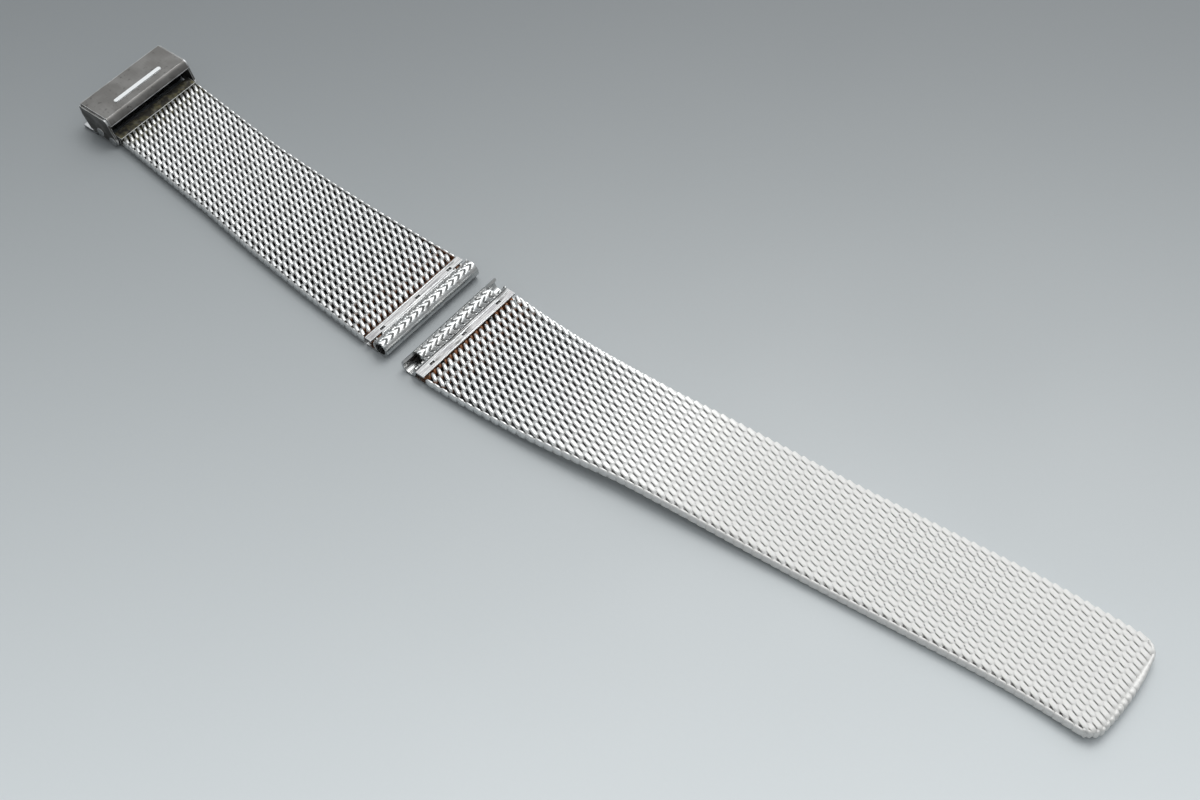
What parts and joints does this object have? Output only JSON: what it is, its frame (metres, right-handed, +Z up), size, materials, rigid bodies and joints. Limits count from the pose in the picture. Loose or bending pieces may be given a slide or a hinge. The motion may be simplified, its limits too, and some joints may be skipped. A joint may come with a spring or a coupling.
{
  "type": "watch bracelet",
  "caption": "Two-piece woven mesh watch bracelet in steel, with rolled spring bar ends, a tapering tail with a rounded tip, and a sliding clasp with a hinged gripping cover.",
  "frame": {"origin": "middle of the long half's spring bar bore", "axes": "+X along the strap towards the tip, +Y along the spring bar bore, +Z up out of the wrist side"},
  "size_m": [0.1564, 0.0239, 0.0046],
  "materials": {
    "mesh_wire": "woven wire, polished on its crowns and dull between",
    "lug_sheet": "worn satin sheet",
    "stakes": "dull, dark with dirt",
    "tip_rim": "ground and polished",
    "clamp_sheet": "dull, yellowed with dirt",
    "pins": "polished",
    "clasp_steel": "finely brushed, scratched",
    "cover_steel": "finely brushed",
    "grip_steel": "dull"
  },
  "bodies": {
    "long_lug_end": {"long_lug_tube": "lug_sheet", "long_lug_strip": "lug_sheet", "long_lug_stakes": "stakes", "long_end_row": "mesh_wire"},
    "long_strap_01": {"long_mesh_01": "mesh_wire"},
    "long_strap_02": {"long_mesh_02": "mesh_wire"},
    "long_strap_03": {"long_mesh_03": "mesh_wire"},
    "long_strap_04": {"long_mesh_04": "mesh_wire"},
    "long_strap_05": {"long_mesh_05": "mesh_wire"},
    "long_strap_06": {"long_mesh_06": "mesh_wire"},
    "long_strap_07": {"long_mesh_07": "mesh_wire"},
    "long_strap_08": {"long_mesh_08": "mesh_wire"},
    "long_strap_09": {"long_mesh_09": "mesh_wire"},
    "long_strap_10": {"long_mesh_10": "mesh_wire", "tip_rim": "tip_rim"},
    "short_lug_end": {"short_lug_tube": "lug_sheet", "short_lug_strip": "lug_sheet", "short_lug_stakes": "stakes", "short_end_row": "mesh_wire"},
    "short_strap_01": {"short_mesh_01": "mesh_wire"},
    "short_strap_02": {"short_mesh_02": "mesh_wire"},
    "short_strap_03": {"short_mesh_03": "mesh_wire"},
    "short_strap_04": {"short_mesh_04": "mesh_wire"},
    "short_strap_05": {"short_mesh_05": "mesh_wire"},
    "short_strap_06": {"short_mesh_06": "mesh_wire", "clamp_row": "mesh_wire", "mesh_clamp": "clamp_sheet"},
    "clasp_body": {"clasp_housing": "clasp_steel", "end_pin": "pins", "cover_pin": "pins"},
    "clasp_lever": {"clasp_cover": "cover_steel", "grip_bar": "grip_steel"}
  },
  "joints": [
    {"name": "long_bend_01", "type": "hinge", "parent": "long_lug_end", "child": "long_strap_01", "pos_m": [0.00271, 0, -0.00035], "axis": [0, -1, 0], "range_deg": [-15, 15]},
    {"name": "long_bend_02", "type": "hinge", "parent": "long_strap_01", "child": "long_strap_02", "pos_m": [0.01125, 0.00009, -0.00017], "axis": [0.0309, -0.9995, 0], "range_deg": [-15, 15]},
    {"name": "long_bend_03", "type": "hinge", "parent": "long_strap_02", "child": "long_strap_03", "pos_m": [0.01976, 0.0006, 0.00021], "axis": [0.0888, -0.9961, 0], "range_deg": [-15, 15]},
    {"name": "long_bend_04", "type": "hinge", "parent": "long_strap_03", "child": "long_strap_04", "pos_m": [0.02825, 0.00154, 0.00048], "axis": [0.1218, -0.9926, 0], "range_deg": [-15, 15]},
    {"name": "long_bend_05", "type": "hinge", "parent": "long_strap_04", "child": "long_strap_05", "pos_m": [0.03672, 0.00258, 0.00039], "axis": [0.1219, -0.9925, 0], "range_deg": [-15, 15]},
    {"name": "long_bend_06", "type": "hinge", "parent": "long_strap_05", "child": "long_strap_06", "pos_m": [0.0464, 0.00377, -0.00002], "axis": [0.1219, -0.9925, 0], "range_deg": [-15, 15]},
    {"name": "long_bend_07", "type": "hinge", "parent": "long_strap_06", "child": "long_strap_07", "pos_m": [0.05487, 0.00481, -0.00032], "axis": [0.1219, -0.9925, 0], "range_deg": [-15, 15]},
    {"name": "long_bend_08", "type": "hinge", "parent": "long_strap_07", "child": "long_strap_08", "pos_m": [0.06335, 0.00585, -0.00035], "axis": [0.1219, -0.9925, 0], "range_deg": [-15, 15]},
    {"name": "long_bend_09", "type": "hinge", "parent": "long_strap_08", "child": "long_strap_09", "pos_m": [0.07182, 0.00689, -0.00035], "axis": [0.1194, -0.9928, 0], "range_deg": [-15, 15]},
    {"name": "long_bend_10", "type": "hinge", "parent": "long_strap_09", "child": "long_strap_10", "pos_m": [0.08032, 0.00769, -0.00032], "axis": [0.0589, -0.9983, 0], "range_deg": [-15, 15]},
    {"name": "halves_apart", "type": "slide", "parent": "long_lug_end", "child": "short_lug_end", "axis": [-1, 0, 0], "range_m": [0, 0.036]},
    {"name": "short_bend_01", "type": "hinge", "parent": "short_lug_end", "child": "short_strap_01", "pos_m": [-0.00751, 0, -0.00035], "axis": [0, 1, 0], "range_deg": [-15, 15]},
    {"name": "short_bend_02", "type": "hinge", "parent": "short_strap_01", "child": "short_strap_02", "pos_m": [-0.01483, 0.00002, -0.00035], "axis": [-0.0031, 1, 0], "range_deg": [-15, 15]},
    {"name": "short_bend_03", "type": "hinge", "parent": "short_strap_02", "child": "short_strap_03", "pos_m": [-0.02337, 0.00017, -0.00035], "axis": [-0.0121, 0.9999, 0], "range_deg": [-15, 15]},
    {"name": "short_bend_04", "type": "hinge", "parent": "short_strap_03", "child": "short_strap_04", "pos_m": [-0.03192, 0.00053, -0.00035], "axis": [-0.0231, 0.9997, 0], "range_deg": [-15, 15]},
    {"name": "short_bend_05", "type": "hinge", "parent": "short_strap_04", "child": "short_strap_05", "pos_m": [-0.04048, 0.00111, -0.00035], "axis": [-0.032, 0.9995, 0], "range_deg": [-15, 15]},
    {"name": "short_bend_06", "type": "hinge", "parent": "short_strap_05", "child": "short_strap_06", "pos_m": [-0.04905, 0.00181, -0.00035], "axis": [-0.0349, 0.9994, 0], "range_deg": [-15, 15]},
    {"name": "clasp_swing", "type": "hinge", "parent": "short_strap_06", "child": "clasp_body", "pos_m": [-0.05899, 0.00248, -0.00035], "axis": [-0.0349, 0.9994, 0], "range_deg": [-35, 50]},
    {"name": "cover_opens", "type": "hinge", "parent": "clasp_body", "child": "clasp_lever", "pos_m": [-0.06129, 0.0024, 0.00015], "axis": [0.0349, -0.9994, 0], "range_deg": [0, 90]}
  ]
}
